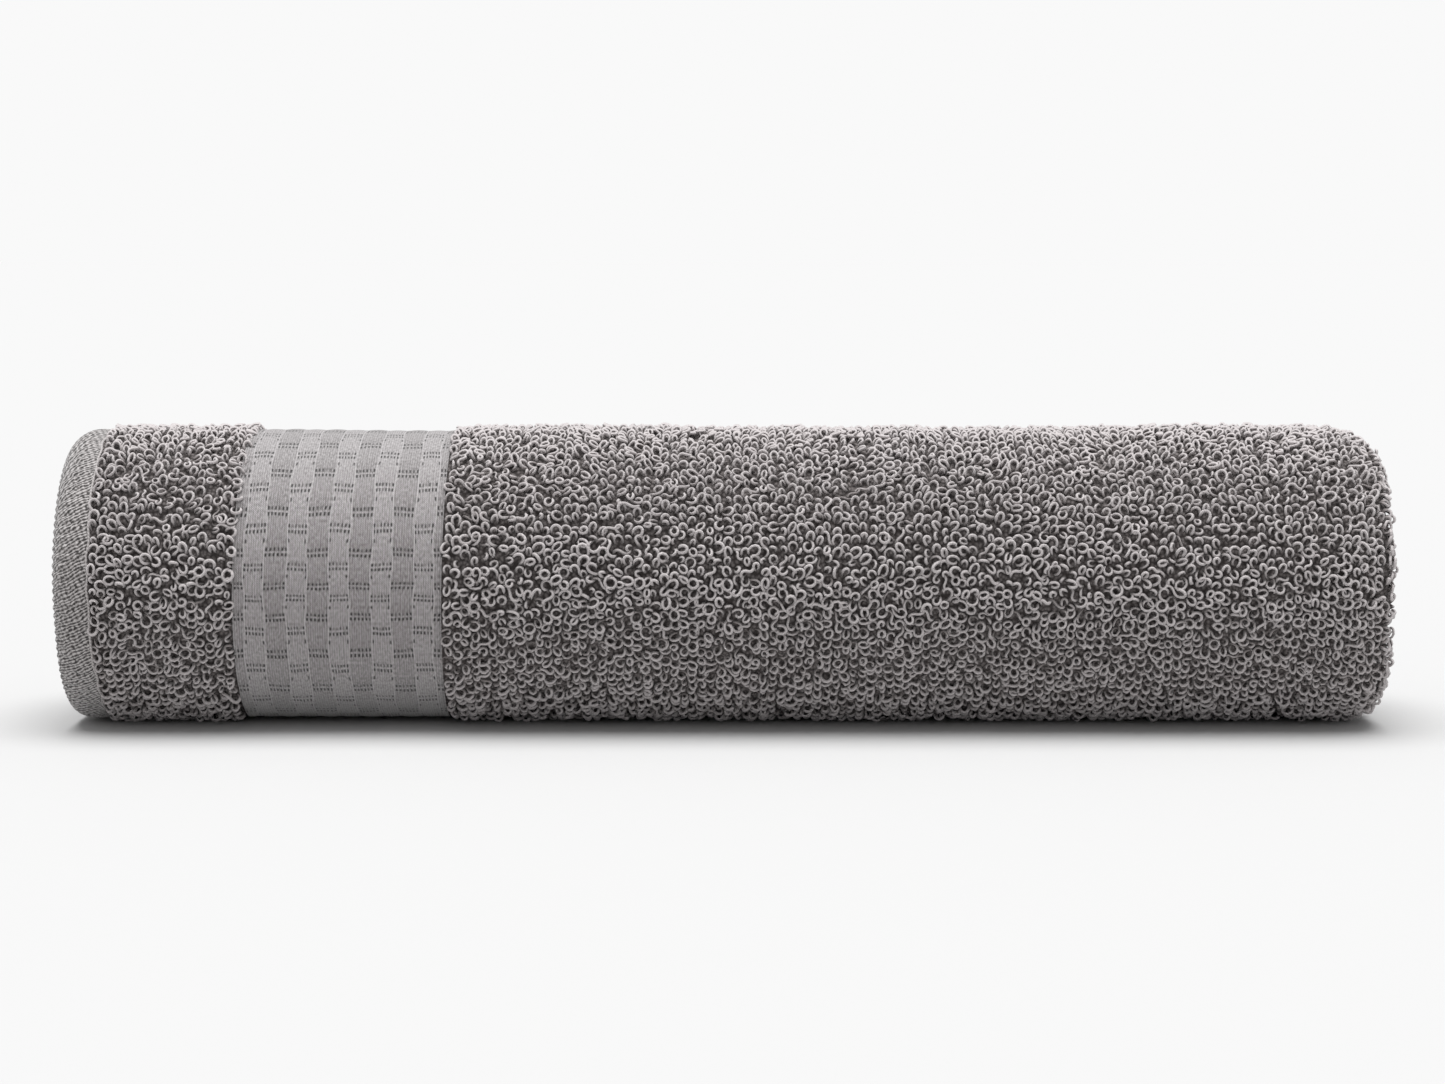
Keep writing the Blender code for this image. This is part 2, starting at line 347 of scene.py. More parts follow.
def ground_weave(hem_width, selvedge_start):
    """Woven cotton ground, dyed mid grey, but painted darker under the pile: painted shade of the loops
    over it. The feet of the loops show as paler blobs about 1.5 mm apart, with painted shade down between
    them, and it is paler where the cloth is hemmed, up to hem_width across it and from selvedge_start
    along it. The pile's ground takes the darker part of the ramp, hems the rest."""
    looks, shader = matt_fibre("plain_woven_cotton_ground", 0.05)
    cloth_uv = node(looks, "ShaderNodeUVMap", {}, uv_map="cloth")["UV"]
    across, along, _ = node(looks, "ShaderNodeSeparateXYZ", {0: cloth_uv})
    in_hem = node(looks, "ShaderNodeMath", {0: across, 1: float(hem_width)}, operation="LESS_THAN")[0]
    in_selvedge = node(looks, "ShaderNodeMath", {0: along, 1: float(selvedge_start)},
                       operation="GREATER_THAN")[0]
    hemmed = node(looks, "ShaderNodeMath", {0: in_hem, 1: in_selvedge}, operation="MAXIMUM")[0]
    # Painted shade: under the pile the ground is painted dark, darkest down between the feet of the loops.
    from_foot = node(looks, "ShaderNodeTexVoronoi", {"Vector": cloth_uv, "Scale": 1 / FOOT_SPACING},
                     voronoi_dimensions="2D")["Distance"]
    foot = node(looks, "ShaderNodeMapRange", {0: from_foot, 1: 0.1, 2: 0.65, 3: 1.0, 4: 0.0})[0]
    pale = node(looks, "ShaderNodeMath", {0: foot, 1: 0.4}, operation="MULTIPLY")[0]
    pale = node(looks, "ShaderNodeMath", {0: hemmed, 1: 0.6, 2: pale}, operation="MULTIPLY_ADD")[0]
    # The dark end of the ramp, which the ground under the pile takes, is painted shade.
    stops = ((0.0, "#3E3938"), (0.4, "#7A7473"), (0.6, "#969190"), (1.0, "#BBB6B5"))
    colour = node(looks, "ShaderNodeValToRGB", {0: pale}, stops=stops)[0]
    bump = node(looks, "ShaderNodeBump", {"Height": foot, "Strength": 0.8, "Distance": 0.8 * MM})[0]
    looks.node_tree.links.new(colour, shader.inputs["Base Color"])
    looks.node_tree.links.new(bump, shader.inputs["Normal"])
    return looks


turns = np.concatenate([
    np.arange(STRIP_START, WOUND_TURNS - 1, 1 / INNER_TURN_STEPS),
    np.linspace(WOUND_TURNS - 1, WOUND_TURNS, OUTER_TURN_STEPS, endpoint=False),
    np.linspace(WOUND_TURNS, WOUND_TURNS + TAIL_TURNS * (1 - EDGE_ROUNDING / TAIL_REACH), LOOSE_END_STEPS),
    WOUND_TURNS + TAIL_TURNS * (1 - EDGE_ROUNDING * (1 - np.sin(EDGE_ANGLES)) / TAIL_REACH),
])
path = cloth_path()
half_thickness = outwards(path) * path[:, 2:] / 2
half_thickness = np.concatenate([half_thickness, -half_thickness[::-1]])
middle = np.concatenate([path[:, :2], path[::-1, :2]])
rounding = np.ones((len(turns), 1))
rounding[-len(EDGE_ANGLES):, 0] = np.cos(EDGE_ANGLES)
rings = place(
    turns[:, None],
    middle[:, 0] + half_thickness[:, 0] * rounding,
    middle[:, 1] + half_thickness[:, 1] * rounding,
)
across = length_along(path[:, :2])
along = length_along(place(turns, 0.0, MIDDLE_LAYER))
both_faces = np.concatenate([across, across[::-1]])
measured = np.stack(np.broadcast_arrays(both_faces, along[:, None]), axis=-1)
hem_width = across[np.searchsorted(-path[:, 1], -OUTER_LAYER) - 1]
looks = ground_weave(hem_width, along[-1] - SELVEDGE_WIDTH)
cloth = closed_strip("towel_cloth", rings, looks, cloth=measured)

# The hem: the end of the cloth, woven flat without pile, turned under and stitched down. It shows as
# a band 12 mm wide that curls in over the left end, with slanting floats of thread over its face and
# a rib every few millimetres, and one paler thread runs along where the pile begins.

HEM_FACE = 0.2 * MM
HEM_BACK = 0.5 * MM
HEM_SPACING = 0.85 * MM
HEM_FACE_STEPS = 18
HEM_BACK_STEPS = 6
HEM_LAP = 1 * MM
RIB_SPACING = 3.4 * MM
RIB_HEIGHT = 0.8 * MM
# The ribs fade out over this many places of the face, at the curl and at the seam.
RIB_FADE_AT_CURL = 4
RIB_FADE_AT_SEAM = 8
# The weave, in millimetres: floats along the hem, a coarser crossing band across it, and the pits.
FLOAT_SPACING = 1.3
CROSSING_SPACING = 2.1
PIT_DENSITY = 0.3
SEAM_RADIUS = 0.42 * MM
SEAM_DEPTH = 1.35 * MM
SEAM_SPACING = 1.2 * MM
SEAM_SIDES = 5
SEAM_WAVER = 0.35 * MM
SEAM_TWIST = 1.4 * MM


def hem_weave():
    """Flat-woven cotton, dyed mid grey, in a crepe weave: short floats of thread lie slantwise, drawn 1.1
    mm apart where the real ones are 0.8 mm, and their slant drifts. There is a small pit among them every
    3 mm or so. The colour is painted paler where the cloth stands higher and darker where it is lower,
    darkest in the pits: painted shade."""
    looks, shader = matt_fibre("crepe_woven_cotton_hem", 0.5)
    cloth_uv = node(looks, "ShaderNodeUVMap", {}, uv_map="cloth")["UV"]
    in_mm = node(looks, "ShaderNodeVectorMath", {0: cloth_uv, "Scale": 1000.0}, operation="SCALE")[0]
    across, along, _ = node(looks, "ShaderNodeSeparateXYZ", {0: in_mm})
    drift = node(looks, "ShaderNodeTexNoise", {"Vector": in_mm, "Scale": 0.28, "Detail": 2.0})["Fac"]
    breaks = node(looks, "ShaderNodeTexNoise", {"Vector": in_mm, "Scale": 0.9, "Detail": 1.0})["Fac"]
    # The floats: a sine of a slanted distance that drifts.
    slanted = node(looks, "ShaderNodeMath", {0: across, 1: 0.55, 2: along}, operation="MULTIPLY_ADD")[0]
    slanted = node(looks, "ShaderNodeMath", {0: drift, 1: 2.4, 2: slanted}, operation="MULTIPLY_ADD")[0]
    slanted = node(looks, "ShaderNodeMath", {0: slanted, 1: 2 * math.pi / FLOAT_SPACING},
                   operation="MULTIPLY")[0]
    floats = node(looks, "ShaderNodeMath", {0: slanted}, operation="SINE")[0]
    # A weaker sine across them breaks the floats up.
    crossing = node(looks, "ShaderNodeMath", {0: along, 1: -0.35, 2: across}, operation="MULTIPLY_ADD")[0]
    crossing = node(looks, "ShaderNodeMath", {0: breaks, 1: 3.0, 2: crossing}, operation="MULTIPLY_ADD")[0]
    crossing = node(looks, "ShaderNodeMath", {0: crossing, 1: 2 * math.pi / CROSSING_SPACING},
                    operation="MULTIPLY")[0]
    crossing = node(looks, "ShaderNodeMath", {0: crossing}, operation="SINE")[0]
    # Both make the height of the cloth, with the pits cut out of it, and the colour is painted paler where
    # higher and darker where lower: painted shade, darkest in the pits.
    height = node(looks, "ShaderNodeMath", {0: floats, 1: 0.34, 2: 0.42}, operation="MULTIPLY_ADD")[0]
    height = node(looks, "ShaderNodeMath", {0: crossing, 1: 0.2, 2: height}, operation="MULTIPLY_ADD")[0]
    from_pit = node(looks, "ShaderNodeTexVoronoi", {"Vector": in_mm, "Scale": PIT_DENSITY},
                    voronoi_dimensions="2D")["Distance"]
    pit = node(looks, "ShaderNodeMapRange", {0: from_pit, 1: 0.10, 2: 0.17, 3: 1.0, 4: 0.0})[0]
    height = node(looks, "ShaderNodeMath", {0: pit, 1: -0.45, 2: height}, operation="MULTIPLY_ADD")[0]
    stops = ((0.0, "#2E2B2A"), (0.3, "#706B6A"), (0.8, "#BFBBBA"))
    colour = node(looks, "ShaderNodeValToRGB", {0: height}, stops=stops)[0]
    bump = node(looks, "ShaderNodeBump", {"Height": height, "Strength": 0.8, "Distance": 0.4 * MM})[0]
    looks.node_tree.links.new(colour, shader.inputs["Base Color"])
    looks.node_tree.links.new(bump, shader.inputs["Normal"])
    return looks


def seam_thread():
    """Mercerised cotton sewing thread, a little paler than the towel, two plies twisted together."""
    looks, shader = matt_fibre("twisted_cotton_seam_thread", 0.3)
    cloth_uv = node(looks, "ShaderNodeUVMap", {}, uv_map="cloth")["UV"]
    around, along, _ = node(looks, "ShaderNodeSeparateXYZ", {0: cloth_uv})
    twist = node(looks, "ShaderNodeMath", {0: along, 1: 2 * math.pi / SEAM_TWIST, 2: around},
                 operation="MULTIPLY_ADD")[0]
    twist = node(looks, "ShaderNodeMath", {0: twist}, operation="SINE")[0]
    twist = node(looks, "ShaderNodeMath", {0: twist, 1: 0.5, 2: 0.5}, operation="MULTIPLY_ADD")[0]
    colour = node(looks, "ShaderNodeValToRGB", {0: twist}, stops=((0.0, "#9B9695"), (1.0, "#BDB8B7")))[0]
    bump = node(looks, "ShaderNodeBump", {"Height": twist, "Strength": 0.5, "Distance": 0.15 * MM})[0]
    looks.node_tree.links.new(colour, shader.inputs["Base Color"])
    looks.node_tree.links.new(bump, shader.inputs["Normal"])
    return looks


turns = strip_turns(HEM_SPACING)
along = length_along(place(turns, LEFT_END, 0.0))
lift = HEM_THICKNESS / 2 + HEM_FACE
face_end = run(HEM_EDGE - HEM_LAP, HEM_EDGE, HEM_DEPTH - lift, 2)
face = np.concatenate([hem_curve(HEM_CURL_END, 0, HEM_FACE_STEPS, lift), face_end])
lift = HEM_THICKNESS / 2 - HEM_BACK
back_start = run(HEM_EDGE, HEM_CENTRE, HEM_DEPTH - lift, 2)
back = np.concatenate([back_start, hem_curve(0, HEM_CURL_END, HEM_BACK_STEPS, lift)[1:]])
rib = RIB_HEIGHT * np.abs(np.cos(np.pi * along / RIB_SPACING))[:, None]
from_curl = np.arange(len(face)) + RIB_FADE_AT_CURL - 1
from_seam = np.arange(len(face))[::-1]
rib = rib * smooth(np.minimum(from_curl / RIB_FADE_AT_CURL, from_seam / RIB_FADE_AT_SEAM))
way_out = outwards(face)
ribbed = place(turns[:, None], face[:, 0] + rib * way_out[:, 0], face[:, 1] + rib * way_out[:, 1])
rings = np.concatenate([ribbed, place(turns[:, None], back[:, 0], back[:, 1])], axis=1)
across = length_along(face)
across = np.concatenate([across, np.linspace(across[-1], 0, len(back))])
measured = np.stack(np.broadcast_arrays(across, along[:, None]), axis=-1)
closed_strip("hem_weave", rings, hem_weave(), cloth=measured)

turns = strip_turns(SEAM_SPACING)
along = length_along(place(turns, LEFT_END, 0.0))
# The thread wavers by two slow sines multiplied, and a quicker one.
waver = np.sin(along / (2.9 * MM)) * np.sin(along / (7.3 * MM)) + 0.4 * np.sin(along / (1.7 * MM))
waver = SEAM_WAVER * waver
around = 2 * np.pi * np.arange(SEAM_SIDES) / SEAM_SIDES
seam_x = HEM_EDGE + waver[:, None] + SEAM_RADIUS * np.cos(around)
rings = place(turns[:, None], seam_x, SEAM_DEPTH - SEAM_RADIUS * np.sin(around))
measured = np.stack(np.broadcast_arrays(around, along[:, None]), axis=-1)
closed_strip("hem_seam", rings, seam_thread(), cloth=measured)

# The border: a flat-woven band across the towel, in a basket check of columns 7 to 8 mm wide, woven
# in one with it. Every block is a small pillow between open-work rows of pinholes, with a pale thread
# along each column.

WIDE_COLUMN = 7.75 * MM
NARROW_COLUMN = 6.95 * MM
FIRST_COLUMN_X = LEFT_END + 65.9 * MM
COLUMNS_BEFORE = 0.5
COLUMNS_IN_ALL = 9.875
STEPS_PER_COLUMN = 7
BORDER_SPACING = 1.3 * MM
BORDER_SLANT = 1.1 * MM
BORDER_FACE = 1.6 * MM
BORDER_BACK = 2.0 * MM
PILLOW_HEIGHT = 0.42 * MM
PILLOW_ROUNDING = 0.6
HOLES_PER_COLUMN = 6
PLAIN_SPACING = 0.8 * MM
# The paired rows of pinholes lie this far from the middle of their pair, in repeats.
ROW_OFFSET = 0.072
# The pinhole rows repeat every 18 mm round the roll, and closer together a little below the middle
# of its front, where the weft was beaten up harder.
REPEAT = 18.25 * MM
CLOSER_BY = 0.49
CLOSER_AT = -4 * MM
CLOSER_WIDTH = 15 * MM
REPEAT_START = 0.05
NARROW_ROW_OFFSET = 0.6


def front_angle(turns):
    """Angle round the roll from the middle of its front, upwards positive."""
    return math.pi - (TAIL_ANGLE + 2 * np.pi * (turns - WOUND_TURNS))


def away_from(looks, value, middle):
    """How far a value is from a middle one, either way: |value - middle|."""
    difference = node(looks, "ShaderNodeMath", {0: value, 1: middle}, operation="SUBTRACT")[0]
    return node(looks, "ShaderNodeMath", {0: difference}, operation="ABSOLUTE")[0]


def border_weave():
    """Flat-woven cotton, dyed mid grey: a fine plain weave, drawn 0.8 mm apart where the real one is 0.53
    mm, with paired rows of dark pinholes, drawn 1.2 mm apart where the real ones are 1 mm, a pale thread
    between the rows of a pair and along each column, and lone slits beside it. Each block has painted
    shade just above a pair of rows."""
    looks, shader = matt_fibre("basket_woven_cotton_border", 0.6)
    weave_uv = node(looks, "ShaderNodeUVMap", {}, uv_map="weave")["UV"]
    column, repeat, _ = node(looks, "ShaderNodeSeparateXYZ", {0: weave_uv})
    # The paired rows, once a repeat, and further on in every wide column.
    whole_column = node(looks, "ShaderNodeMath", {0: column}, operation="FLOOR")[0]
    wide = node(looks, "ShaderNodeMath", {0: whole_column, 1: 2.0}, operation="FLOORED_MODULO")[0]
    shifted = node(looks, "ShaderNodeMath", {0: wide, 1: NARROW_ROW_OFFSET, 2: 0.5 - NARROW_ROW_OFFSET},
                   operation="MULTIPLY_ADD")[0]
    shifted = node(looks, "ShaderNodeMath", {0: shifted, 1: repeat}, operation="ADD")[0]
    fraction = node(looks, "ShaderNodeMath", {0: shifted}, operation="FRACT")[0]
    from_pair = away_from(looks, fraction, 0.5)
    from_row = away_from(looks, from_pair, ROW_OFFSET)
    in_row = node(looks, "ShaderNodeMapRange", {0: from_row, 1: 0.030, 2: 0.052, 3: 1.0, 4: 0.0})[0]
    lower_row = node(looks, "ShaderNodeMath", {0: fraction, 1: 0.5}, operation="LESS_THAN")[0]
    # The pinholes along a row: each is more or less open, the lower row more, the ends most.
    hole = node(looks, "ShaderNodeMath", {0: column, 1: HOLES_PER_COLUMN}, operation="MULTIPLY")[0]
    hole_number = node(looks, "ShaderNodeMath", {0: hole}, operation="FLOOR")[0]
    hole_place = node(looks, "ShaderNodeMath", {0: hole}, operation="FRACT")[0]
    from_hole = away_from(looks, hole_place, 0.5)
    in_hole = node(looks, "ShaderNodeMapRange", {0: from_hole, 1: 0.20, 2: 0.30, 3: 1.0, 4: 0.0})[0]
    row_number = node(looks, "ShaderNodeMath", {0: shifted, 1: 2.0}, operation="MULTIPLY")[0]
    row_number = node(looks, "ShaderNodeMath", {0: row_number}, operation="FLOOR")[0]
    each = node(looks, "ShaderNodeCombineXYZ", {0: hole_number, 1: row_number})[0]
    chance = node(looks, "ShaderNodeTexWhiteNoise", {"Vector": each}, noise_dimensions="3D")["Value"]
    edge_place = node(looks, "ShaderNodeMath", {0: column, 1: 0.5}, operation="ADD")[0]
    edge_place = node(looks, "ShaderNodeMath", {0: edge_place}, operation="FRACT")[0]
    from_edge = away_from(looks, edge_place, 0.5)
    end_hole = node(looks, "ShaderNodeMapRange", {0: from_edge, 1: 0.12, 2: 0.15, 3: 1.15, 4: 0.0})[0]
    openness = node(looks, "ShaderNodeMath", {0: chance, 1: 0.6, 2: 0.3}, operation="MULTIPLY_ADD")[0]
    openness = node(looks, "ShaderNodeMath", {0: lower_row, 1: 0.35, 2: openness},
                    operation="MULTIPLY_ADD")[0]
    openness = node(looks, "ShaderNodeMath", {0: openness, 1: end_hole}, operation="MAXIMUM")[0]
    holes = node(looks, "ShaderNodeMath", {0: in_row, 1: in_hole}, operation="MULTIPLY")[0]
    holes = node(looks, "ShaderNodeMath", {0: holes, 1: openness}, operation="MULTIPLY")[0]
    # The lone slits: one on each side of a column's thread between its pairs of rows.
    lone = node(looks, "ShaderNodeMath", {0: repeat, 1: 0.2}, operation="ADD")[0]
    lone = node(looks, "ShaderNodeMath", {0: lone}, operation="FRACT")[0]
    lone = away_from(looks, lone, 0.5)
    lone = node(looks, "ShaderNodeMapRange", {0: lone, 1: 0.035, 2: 0.06, 3: 1.0, 4: 0.0})[0]
    beside = away_from(looks, from_edge, 0.075)
    beside = node(looks, "ShaderNodeMapRange", {0: beside, 1: 0.02, 2: 0.05, 3: 1.0, 4: 0.0})[0]
    slit_depth = node(looks, "ShaderNodeMath", {0: wide, 1: -0.8, 2: 1.0}, operation="MULTIPLY_ADD")[0]
    lone = node(looks, "ShaderNodeMath", {0: lone, 1: beside}, operation="MULTIPLY")[0]
    lone = node(looks, "ShaderNodeMath", {0: lone, 1: slit_depth}, operation="MULTIPLY")[0]
    holes = node(looks, "ShaderNodeMath", {0: holes, 1: lone}, operation="MAXIMUM")[0]
    # The pale threads, along each column and between the rows of a pair.
    edge_thread = node(looks, "ShaderNodeMapRange", {0: from_edge, 1: 0.02, 2: 0.05, 3: 1.0, 4: 0.0})[0]
    pair_thread = node(looks, "ShaderNodeMapRange", {0: from_pair, 1: 0.012, 2: 0.028, 3: 1.0, 4: 0.0})[0]
    pair_thread = node(looks, "ShaderNodeMath", {0: pair_thread, 1: 0.4}, operation="MULTIPLY")[0]
    threads = node(looks, "ShaderNodeMath", {0: edge_thread, 1: pair_thread}, operation="MAXIMUM")[0]
    cloth_uv = node(looks, "ShaderNodeUVMap", {}, uv_map="cloth")["UV"]
    across, around, _ = node(looks, "ShaderNodeSeparateXYZ", {0: cloth_uv})
    # The plain weave: sines of warp and weft, uneven, with strands that run a little longer.
    angle_per_metre = 2 * math.pi / PLAIN_SPACING
    warp = node(looks, "ShaderNodeMath", {0: across, 1: angle_per_metre}, operation="MULTIPLY")[0]
    weft = node(looks, "ShaderNodeMath", {0: around, 1: angle_per_metre}, operation="MULTIPLY")[0]
    warp = node(looks, "ShaderNodeMath", {0: warp}, operation="SINE")[0]
    weft = node(looks, "ShaderNodeMath", {0: weft}, operation="SINE")[0]
    plain = node(looks, "ShaderNodeMath", {0: warp, 1: weft}, operation="MULTIPLY")[0]
    plain = node(looks, "ShaderNodeMath", {0: warp, 1: 0.5, 2: plain}, operation="MULTIPLY_ADD")[0]
    in_mm = node(looks, "ShaderNodeVectorMath", {0: cloth_uv, "Scale": 1000.0}, operation="SCALE")[0]
    uneven = node(looks, "ShaderNodeTexNoise", {"Vector": in_mm, "Scale": 0.7, "Detail": 3.0})["Fac"]
    plain = node(looks, "ShaderNodeMath", {0: plain, 1: uneven}, operation="MULTIPLY")[0]
    stretched = node(looks, "ShaderNodeVectorMath", {0: in_mm, 1: (1.5, 0.8, 1.0)},
                     operation="MULTIPLY")[0]
    strands = node(looks, "ShaderNodeTexNoise", {"Vector": stretched, "Scale": 1.0, "Detail": 0.0})["Fac"]
    strands = node(looks, "ShaderNodeMath", {0: strands, 1: 0.5}, operation="SUBTRACT")[0]
    plain = node(looks, "ShaderNodeMath", {0: strands, 1: 1.4, 2: plain}, operation="MULTIPLY_ADD")[0]
    # Painted shade: each block is a little darker just above a pair of rows, wide ones more.
    above_pair = node(looks, "ShaderNodeMapRange", {0: fraction, 1: 0.6, 2: 0.95, 3: 1.0, 4: 0.0})[0]
    over_middle = node(looks, "ShaderNodeMath", {0: fraction, 1: 0.5}, operation="GREATER_THAN")[0]
    above_pair = node(looks, "ShaderNodeMath", {0: above_pair, 1: over_middle}, operation="MULTIPLY")[0]
    painted_shade = node(looks, "ShaderNodeMath", {0: wide, 1: 0.6, 2: 0.4}, operation="MULTIPLY_ADD")[0]
    painted_shade = node(looks, "ShaderNodeMath", {0: painted_shade, 1: above_pair}, operation="MULTIPLY")[0]
    # How pale it is: blocks 0.70, wide ones a little less, painted shade above the pairs less again,
    # threads more, pinholes far less.
    pale = node(looks, "ShaderNodeMath", {0: plain, 1: 0.42, 2: 0.70}, operation="MULTIPLY_ADD")[0]
    pale = node(looks, "ShaderNodeMath", {0: wide, 1: -0.09, 2: pale}, operation="MULTIPLY_ADD")[0]
    pale = node(looks, "ShaderNodeMath", {0: painted_shade, 1: -0.05, 2: pale}, operation="MULTIPLY_ADD")[0]
    pale = node(looks, "ShaderNodeMath", {0: threads, 1: 0.2, 2: pale}, operation="MULTIPLY_ADD")[0]
    pale = node(looks, "ShaderNodeMath", {0: holes, 1: -0.8, 2: pale}, operation="MULTIPLY_ADD")[0]
    stops = ((0.0, "#2C2929"), (0.5, "#7C7878"), (1.0, "#B6B2B3"))
    colour = node(looks, "ShaderNodeValToRGB", {0: pale}, stops=stops)[0]
    bump = node(looks, "ShaderNodeBump", {"Height": pale, "Strength": 0.8, "Distance": 0.35 * MM})[0]
    looks.node_tree.links.new(colour, shader.inputs["Base Color"])
    looks.node_tree.links.new(bump, shader.inputs["Normal"])
    return looks


turns = strip_turns(BORDER_SPACING)
along = length_along(place(turns, 0.0, 0.0))
column = np.arange(int(COLUMNS_IN_ALL * STEPS_PER_COLUMN) + 1) / STEPS_PER_COLUMN - COLUMNS_BEFORE
into_pair = (column % 2) * NARROW_COLUMN + np.maximum(0, column % 2 - 1) * (WIDE_COLUMN - NARROW_COLUMN)
column_x = FIRST_COLUMN_X + np.floor(column / 2) * (WIDE_COLUMN + NARROW_COLUMN) + into_pair
rise = TAIL_RADIUS * front_angle(turns)[:, None]
repeats = rise / REPEAT + CLOSER_BY * np.tanh((rise - CLOSER_AT) / CLOSER_WIDTH) + REPEAT_START
# The rows aren't quite level, and the columns waver by two sines.
repeats = repeats + 0.02 * np.sin(column * 2.3 + repeats)
waver = 0.04 * np.sin(repeats * 2.1 + column * 1.3) + 0.025 * np.sin(repeats * 5.3 + column * 2.9)
# A pillow rises from nothing at the column's threads, and from a quarter of its height at the rows.
in_block = (repeats - NARROW_ROW_OFFSET * (1 - np.floor(column) % 2)) % 1
between_rows = 0.25 + 0.75 * np.sin(np.pi * in_block) ** PILLOW_ROUNDING
pillow = np.abs(np.sin(np.pi * column)) ** PILLOW_ROUNDING * between_rows
slant = BORDER_SLANT * np.sin(front_angle(turns))[:, None]
front = place(turns[:, None], column_x + slant, BORDER_FACE - PILLOW_HEIGHT * pillow)
behind = [-1, len(column) // 2, 0]
back = place(turns[:, None], column_x[behind] + slant, BORDER_BACK)
rings = np.concatenate([front, back], axis=1)
both_faces = np.append(column_x, column_x[behind])
measured = np.stack(np.broadcast_arrays(both_faces, along[:, None]), axis=-1)
weave = np.stack([column + waver, repeats], axis=-1)
weave = np.concatenate([weave, weave[:, behind]], axis=1)
closed_strip("border_weave", rings, border_weave(), cloth=measured, weave=weave)

# The pile: loops of two-ply cotton yarn, 1 mm thick and 3 to 4 mm across, woven into the ground in
# rows on both faces of the cloth. They lean and twist, so they show as arches, rings, hooks and short
# bars with dark gaps between.

ROW_SPACING = 3.8 * MM
COLUMN_SPACING = 3.1 * MM
YARN_RADIUS = 0.6 * MM
LOOP_STEPS = 11
YARN_SIDES = 3
LOOSE_EDGE = WOUND_TURNS + TAIL_TURNS * (1 - SELVEDGE_WIDTH / TAIL_REACH)
HIDDEN_HEIGHT = 3 * MM
HIDDEN_SHARE = 0.4
FOLD_ROW_SPACING = 3.3 * MM
LOOSE_SHOWN_FROM = 0.3
PILE_EDGE_GAP = 0.3 * MM
MAIN_PIECES = 4
# How far the loops stand off their places, in parts of a row or column, or in radians on a fold's bend.
# The columns stand ahead of their rows and behind them by turns, and the rest is scatter.
ROW_STAGGER = 0.14
ROW_SCATTER = 0.11
COLUMN_SCATTER = 0.1
FOLD_ROW_SCATTER = 0.12
FOLD_ANGLE_SCATTER = 0.1
LOOSE_SCATTER = 0.4 * MM
# Loops hang more and more as the way out of the cloth turns from this far upwards to down.
HANGING_FROM = 0.25
HANGING_OVER = 0.6
# The kinds of loop: their shares, then turn, bend and tilt in degrees, heading in radians, and radius,
# top and slope in millimetres. A pair is the least and the most, or a middle and a spread. Headings
# drift slowly over the cloth, and the growth of a loop makes one half of it wider than the other.
ARCHED_SHARE = 0.65
BOTH_WAYS_SHARE = 0.07
UPRIGHT_SHARE = 0.2
ARCHED_TURN = (100, 190)
FREE_TURN = (120, 240)
BOTH_WAYS_TURN = (10, 70)
BOTH_WAYS_BEND = (120, 170)
ONE_WAY_BEND = (0, 22)
ARCHED_HEADING = (1.4, 0.7)
ARCHED_DRIFT = 0.45
FREE_HEADING = (0, 1.3)
FREE_DRIFT = 1.6
HANGING_HEADING = (0, 0.3)
DOWN_HEADING = 1.5
ARCHED_RADIUS = (1.2, 2.2)
FREE_RADIUS = (1.2, 2.05)
NARROWING = (0.5, 0.9)
HANGING_WIDER = 0.1
UPRIGHT_TILT = (50, 82)
LEANING_TILT = (4, 36)
HANGING_TILT = (0, 18)
GROWTH = (0, 0.25)
LOOP_TOP = (1.6, 3.0)
LOOP_SLOPE = (0, 0.22)
LOOP_FOOT = 0.5 * MM
DIVE_POWER = 7


def axes_at(turns, x, depth, toward_x, toward_depth):
    """Each point, and unit vectors out of the cloth and along its path there, from short steps of
    place(). The way out is given in x and depth."""
    step = 0.2 * MM
    here = place(turns, x, depth)
    out = unit(place(turns, x + step * toward_x, depth + step * toward_depth) - here)
    along = unit(place(turns, x - step * toward_depth, depth + step * toward_x) - here)
    return here, out, unit(along - out * np.sum(along * out, axis=-1, keepdims=True))


